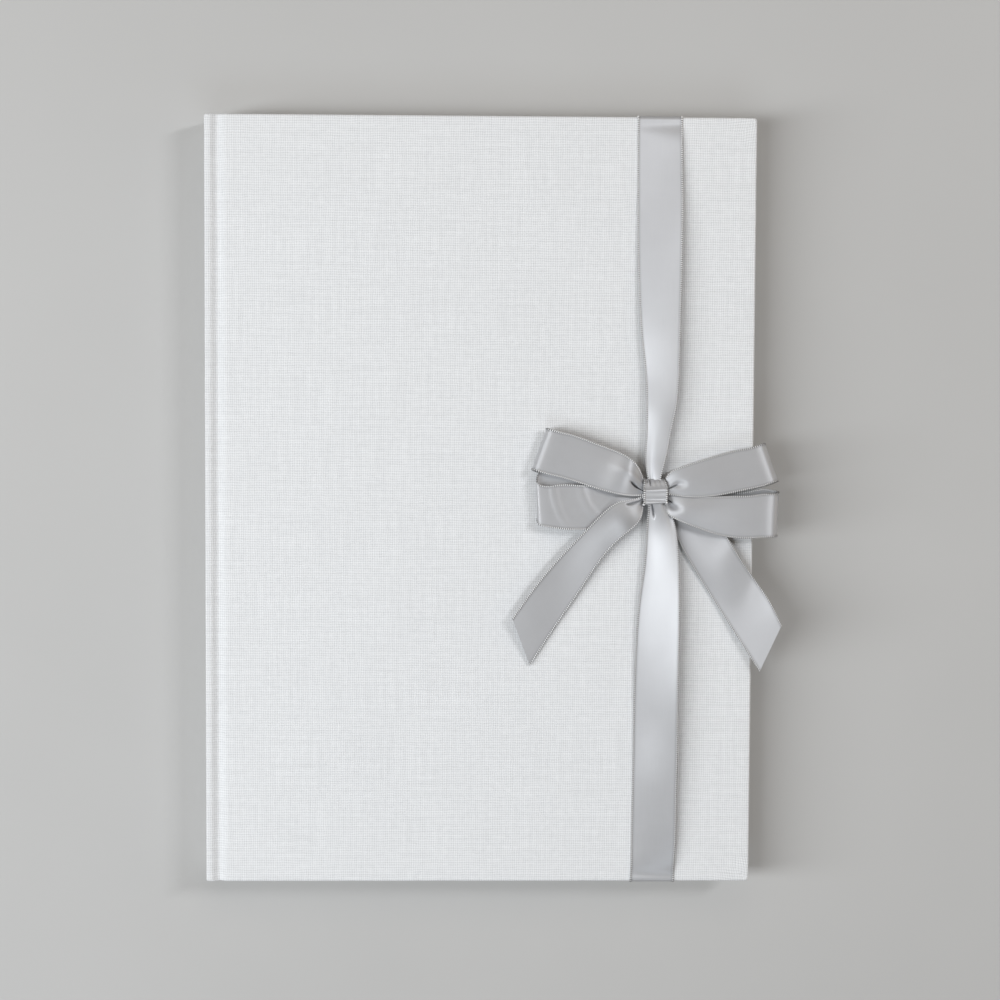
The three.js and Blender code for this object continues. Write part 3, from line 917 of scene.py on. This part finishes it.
def loop(name, upper, lower, heights, bend, roll, shift, slits, pleats, crown, ripples=None):
    """One bow loop. `upper` and `lower` are its two edges seen from above, from the knot outwards.

    The ribbon runs out along the top, round the end and back underneath, where it lies shifted.
    `bend` is half the loop's thickness at its end, for each edge, and `roll` is how far the end
    reaches out, as a share of that."""
    count = len(upper)
    tip_a, tip_b = np.array(upper[-1]), np.array(lower[-1])
    out_a, out_b = tip_a - np.array(upper[-2]), tip_b - np.array(lower[-2])
    out = out_a / np.linalg.norm(out_a) + out_b / np.linalg.norm(out_b)
    across = tip_b - tip_a
    out -= across * (out @ across) / (across @ across)
    out /= np.linalg.norm(out)
    under = np.array(shift)

    def round_trip(edge, tip, half):
        """Out along the top, round the end and back underneath, for one edge."""
        rows = [(*place, z) for place, z in zip(edge[:-1], heights)]
        for k in range(7):
            angle = math.pi / 2 - k / 6 * math.pi
            back = roll * half * (math.cos(angle) - 1.0)
            part = under * smooth_step(k / 6, 0.0, 1.0)
            rows.append((*(tip + out * back + part), heights[-1] - half + half * math.sin(angle)))
        fall = heights[-1] - 2 * half - heights[0] + LAYER_GAP
        for i in reversed(range(count - 1)):
            share = i / (count - 1)
            low = heights[0] - LAYER_GAP + fall * min(1.0, share * 1.6)
            rows.append((*(np.array(edge[i]) + under * share), low))
        return at_knot(rows)

    first, second = round_trip(upper, tip_a, bend[0]), round_trip(lower, tip_b, bend[1])
    total = lengths(spline(first, 200))[-1]

    def relief(distance, share, place):
        near = max(0.0, min(distance, total - distance))
        upper_side = 1.0 if distance < total / 2 else -0.7
        swell = crown * (near / 9) * math.exp(1 - near / 9) * math.sin(math.pi * share)
        folds = sum(pleat(near, share, *fold) for fold in pleats)
        folds += sum(slit(near, share, *cut) for cut in slits)
        gathers = 0.1 * math.exp(-near / 6) * math.sin(6 * math.pi * share)
        shown = upper_side * (swell + folds + gathers)
        return shown + (ripples(place) if ripples and distance < total / 2 else 0.0)

    return ribbon(name, first, second, relief, samples=220, across=60, facing=0.2), total


def rings(place):
    """Two low ridges in the lower left loop, round the place where the tail crosses it."""
    first, pitch = 17.0, 11.0  # radius of the inner ridge, and the way to the outer one
    radius = math.hypot(place[0] + 12.0, place[1] - 3.0)
    fade = smooth_step(radius, 12.0, 15.0) * (1 - smooth_step(radius, 29.0, 31.5))
    return 0.34 * fade * math.cos(math.pi * (radius - first) / pitch) ** 6


LOOPS = {
    "bow_loop_upper_left": dict(
        upper=[
            (-4.8, 4.6), (-6.3, 8.4), (-9.6, 12.3), (-15.5, 15.6),
            (-24, 18.7), (-34, 22.2), (-43.1, 24.7),
        ],
        lower=[
            (-4.7, -1.5), (-9.5, -1.5), (-15.6, -0.6), (-22, 1.0),
            (-28.5, 3.1), (-38.6, 6.0), (-48.7, 8.9),
        ],
        heights=[5.4, 6.9, 8.0, 7.4, 7.0, 6.9, 6.9],
        bend=(2.8, 2.8), roll=1.2, shift=(0.6, -0.9),
        slits=[(0.72, 0.555, 3.0, 6.4, 0.062)], pleats=[(0.36, -0.6, 7.0, 0.1, 6.0)], crown=1.3,
    ),
    "bow_loop_lower_left": dict(
        upper=[
            (-4.7, -1.7), (-9, -0.8), (-14, 0.4), (-22, 1.6),
            (-30, 2.0), (-38, 2.1), (-46.7, 2.5),
        ],
        lower=[
            (-4.7, -4.8), (-8, -9.0), (-13, -12.2), (-20, -14.4),
            (-27, -15.0), (-35.5, -14.9), (-46.4, -13.7),
        ],
        heights=[2.4, 3.4, 4.4, 5.3, 5.9, 6.2, 6.2],
        bend=(0.55, 1.7), roll=1.3, shift=(0.4, 4.4),
        slits=[], pleats=[(0.45, 0.8, 5.0, 0.1, 3.0)], crown=0.6,
        ripples=rings,
    ),
    "bow_loop_upper_right": dict(
        upper=[
            (4.6, 5.0), (6.6, 7.4), (10, 9.2), (15.5, 11.2),
            (23, 13.6), (32, 16.0), (44.1, 19.3),
        ],
        lower=[
            (4.9, -1.1), (8.5, -1.5), (13, -2.0), (19.5, -1.9),
            (27.5, -0.8), (37, 1.2), (49.3, 4.8),
        ],
        heights=[5.4, 5.9, 6.5, 6.9, 7.1, 7.0, 6.9],
        bend=(2.8, 2.8), roll=2.2, shift=(-0.6, -1.2),
        slits=[(0.70, 0.56, 2.2, 4.6, 0.042)], pleats=[(0.56, 1.1, 2.2, 0.12, 5.2)], crown=1.0,
    ),
    "bow_loop_lower_right": dict(
        upper=[
            (4.9, -1.3), (9, -1.8), (14.7, -2.4), (22, -2.4),
            (30, -2.1), (39, -1.7), (49.6, -1.3),
        ],
        lower=[
            (4.5, -5.0), (5.3, -8.3), (9.0, -11.0), (17.8, -14.5),
            (27.5, -17.4), (37.5, -18.2), (49, -18.1),
        ],
        heights=[3.9, 5.0, 6.1, 6.6, 6.6, 6.6, 6.6],
        bend=(2.6, 2.6), roll=2.2, shift=(-0.2, 1.6),
        slits=[(0.42, 0.40, 2.2, 3.2, 0.05)], pleats=[(0.58, 2.6, 3.2, 0.18, 2.6)], crown=1.6,
    ),
}


def tail(name, first, second, relief):
    return ribbon(name, at_knot(first), at_knot(second), relief, samples=150, across=24)


def left_tail():
    """Over the lower left loop, then down on to the cover."""
    first = [
        (-4.7, -2.4, 5.6), (-9.5, -3.6, 6.6), (-14.2, -4.5, 7.3), (-18.4, -7.1, 7.6),
        (-24.6, -13.2, 7.5), (-35.1, -24.3, 6.4), (-44.8, -35.6, 5.8), (-55.9, -51.1, 5.2),
    ]
    second = [
        (-4.7, -6.4, 4.6), (-5.6, -10.6, 5.4), (-9.4, -14.9, 6.3), (-14.0, -18.9, 5.4),
        (-19.5, -24.9, 4.2), (-28.0, -37.6, 2.5), (-38.2, -53.0, 1.4), (-49.0, -69.8, 1.3),
    ]

    def relief(distance, share, place):
        swell = 1.5 * (distance / 9) * math.exp(1 - distance / 9) * math.sin(math.pi * share)
        return swell + slit(distance, share, 0.2, 0.13, 2.0, 7.2, 0.06)

    return tail("bow_tail_left_satin", first, second, relief)


def right_tail():
    """Out from under the lower right loop, across the cover and past the fore-edge."""
    first = [
        (4.9, -4.6, 1.1), (7.4, -11.1, 1.2), (10.7, -20.2, 1.2), (15.2, -28.6, 1.1),
        (22.9, -40.7, 1.0), (30.9, -53.1, 2.0), (42.9, -71.6, 4.2),
    ]
    second = [
        (7.5, -3.4, 1.2), (18.0, -9.0, 2.9), (28.2, -17.5, 4.7), (31.3, -22.3, 5.1),
        (39.8, -34.7, 3.7), (46.1, -43.9, 5.2), (50.8, -53.5, 6.4),
    ]

    def relief(distance, share, place):
        return 0.8 * math.exp(-(((distance - 40) / 12) ** 2)) * math.sin(math.pi * share)

    return tail("bow_tail_right_satin", first, second, relief)


def knot_wrap():
    """The short length of ribbon round the middle of the bow, with a sloping gathered shoulder."""
    low_y, high_y = KNOT_LOW[1] - KNOT[1], KNOT_HIGH[1] - KNOT[1]
    base, top = KNOT_LOW[2] - TOP, KNOT_HIGH[2] - TOP
    half = (KNOT_HIGH[0] - KNOT_LOW[0]) / 2
    # Once round the knot: places along Y of the left and right edge, their height, and the places
    # of both edges along X, as shares of half the knot's width.
    turn = [
        (low_y + 1.4, low_y + 1.6, base + 0.2, -0.88, 0.92),
        (low_y - 0.2, low_y + 0.3, base + 1.4, -0.9, 0.95),
        (low_y - 0.5, low_y + 0.1, base + 3.6, -0.92, 0.98),
        (low_y - 0.5, low_y + 0.15, top - 1.7, -0.88, 0.95),
        (low_y - 0.1, low_y + 0.5, top - 0.9, -0.88, 0.95),
        (low_y + 0.8, low_y + 1.2, top - 1.0, -0.87, 0.95),
        (low_y + 2.6, low_y + 2.8, top - 0.82, -0.87, 0.95),
        (-0.7, -0.2, top - 0.6, -0.87, 0.95),
        (0.15, 0.75, top - 0.5, -0.87, 0.95),
        (0.9, 1.5, top - 0.9, -0.92, 0.99),
        (2.4, 2.6, top - 1.55, -0.86, 0.92),
        (3.8, 3.9, top - 2.25, -0.85, 0.84),
        (high_y - 0.2, high_y - 0.3, top - 3.3, -0.84, 0.73),
        (high_y - 0.2, high_y - 0.2, base + 2.4, -0.85, 0.74),
        (high_y - 1.4, high_y - 1.4, base + 0.4, -0.85, 0.8),
    ]
    first = at_knot([(a * half, y, z) for y, _, z, a, _ in turn])
    second = at_knot([(b * half, y, z) for _, y, z, _, b in turn])
    total = lengths(spline(first, 100))[-1]

    def relief(distance, share, place):
        if place[2] < top - 5.0:  # the underside stays plain
            return 0.0
        shoulder = smooth_step(place[1], 1.4, 3.2)
        folds = 0.1 * shoulder * math.cos(9 * math.pi * share)
        folds += -1.5 * smooth_step(place[1], 1.9, 3.4) * math.exp(-(((share - 0.27) / 0.04) ** 4))
        hole = math.hypot((share - 0.12) * 2 * half, place[1] - 4.0)
        folds += -0.9 * math.exp(-((hole / 0.55) ** 4))
        rise = 0.06 * math.exp(-(((place[1] - 0.25 - 0.7 * share) / 0.22) ** 2))
        hem = -0.16 * math.exp(-(((place[1] + 3.75) / 0.14) ** 2))
        return folds + rise + hem

    parts = ribbon("bow_knot_wrap_satin", first, second, relief, samples=220, across=64, bead=0.4)
    return parts, total


def gathered_centre():
    """The folded ribbon inside the knot, swelling out at both sides of the wrap."""
    surface = Surface()
    low, high = span("bow_gathered_centre")
    middle, size = (low + high) / 2, (high - low) / 2
    points = []
    around, along = 48, 20
    for i in range(along + 1):
        t = -1 + 2 * i / along
        pinch = 0.86 + 0.12 * abs(t)
        ring = []
        for k in range(around + 1):
            angle = 2 * math.pi * k / around
            pleats = 1 - 0.10 * (0.5 + 0.5 * math.cos(9 * angle + 0.8 * t))
            y = middle[1] + size[1] * pinch * pleats * math.cos(angle)
            z = middle[2] + size[2] * pinch * pleats * math.sin(angle)
            ring.append((middle[0] + t * size[0], y, z))
        points.append(ring)
    flats = [[(p[0], k * 0.4) for k, p in enumerate(row)] for row in points]
    surface.caps(surface.grid(points, flats, flip=True), flip=True)
    return merge_close(surface.object("bow_centre_satin", SATIN_LOOK, sharp=None), 0.001)


parts, length = band()
finish_ribbon(parts, "ribbon_band")
for name, facts in LOOPS.items():
    parts, length = loop(f"{name}_satin", **facts)
    finish_ribbon(parts, name)
finish_ribbon(left_tail(), "bow_tail_left")
finish_ribbon(right_tail(), "bow_tail_right")
parts, length = knot_wrap()
finish_ribbon(parts, "bow_knot_wrap")
centre = gathered_centre()
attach(centre, "front_cover")
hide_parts("bow_gathered_centre")


# ---- Carried-over CAD nodes ----

for name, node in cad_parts.items():
    look = {"board": BOARD_LOOK, "gauze": GAUZE_LOOK}.get(name.split("_")[-1])
    if look is not None:
        node.data.materials.clear()
        node.data.materials.append(look)
        for slot in node.material_slots:
            slot.material = look


# ---- Stage, lights and camera ----


def floor():
    surface = Surface()
    reach = 3000.0
    places = [[(x, y, -0.02) for x in (-reach, reach)] for y in (-reach, reach)]
    surface.grid(places, [[(p[0], p[1]) for p in row] for row in places])
    surface.object("floor", floor_paint(), sharp=None)


def area_light(name, place, aim, size, power, tint):
    data = bpy.data.lights.new(name, "AREA")
    data.shape = "RECTANGLE"
    data.size, data.size_y = size
    data.energy = power
    data.color = tint
    made = new_object(name, data)
    made.location = place
    made.rotation_euler = (Vector(aim) - Vector(place)).to_track_quat("-Z", "Y").to_euler()


def lights():
    area_light("key", (-0.88, -0.10, 0.95), (0, 0, 0), (0.29, 1.3), 15.5, (0.925, 0.966, 1.0))
    area_light("low", (1.25, 0.1, 0.42), (0.05, 0, 0), (0.25, 0.8), 1.3, (1.0, 0.85, 0.65))
    area_light("fill", (0.75, 0.38, 1.05), (0.05, 0, 0), (0.11, 0.4), 5.3, (0.95, 0.97, 1.0))
    area_light("window", (0.0, -0.90, 1.10), (0.05, 0, 0), (1.0, 0.5), 2.9, (0.80, 0.90, 1.0))
    area_light("back", (0.0, 0.90, 1.10), (0.05, 0, 0), (0.9, 0.5), 1.7, (1.0, 0.91, 0.80))
    world = bpy.data.worlds.new("studio")
    world.use_nodes = True
    light = world.node_tree.nodes["Background"].inputs
    light["Color"].default_value = (1.0, 0.89, 0.77, 1.0)
    light["Strength"].default_value = 0.18
    scene = bpy.context.scene
    scene.world = world
    scene.view_settings.view_transform = "Standard"
    scene.view_settings.look = "None"


def camera():
    """Straight above the book, with the slight lean that the cover's outline shows."""
    data = bpy.data.cameras.new("camera")
    data.lens = 65.0
    data.sensor_width = 36.0
    made = new_object("camera", data)
    made.location = (-0.0079, 0.0368, 0.7372)
    made.rotation_euler = tuple(math.radians(a) for a in (-2.864, -1.257, 0.274))
    data.clip_start, data.clip_end = 0.01, 20.0
    bpy.context.scene.camera = made


floor()
lights()
camera()

bpy.context.view_layer.update()
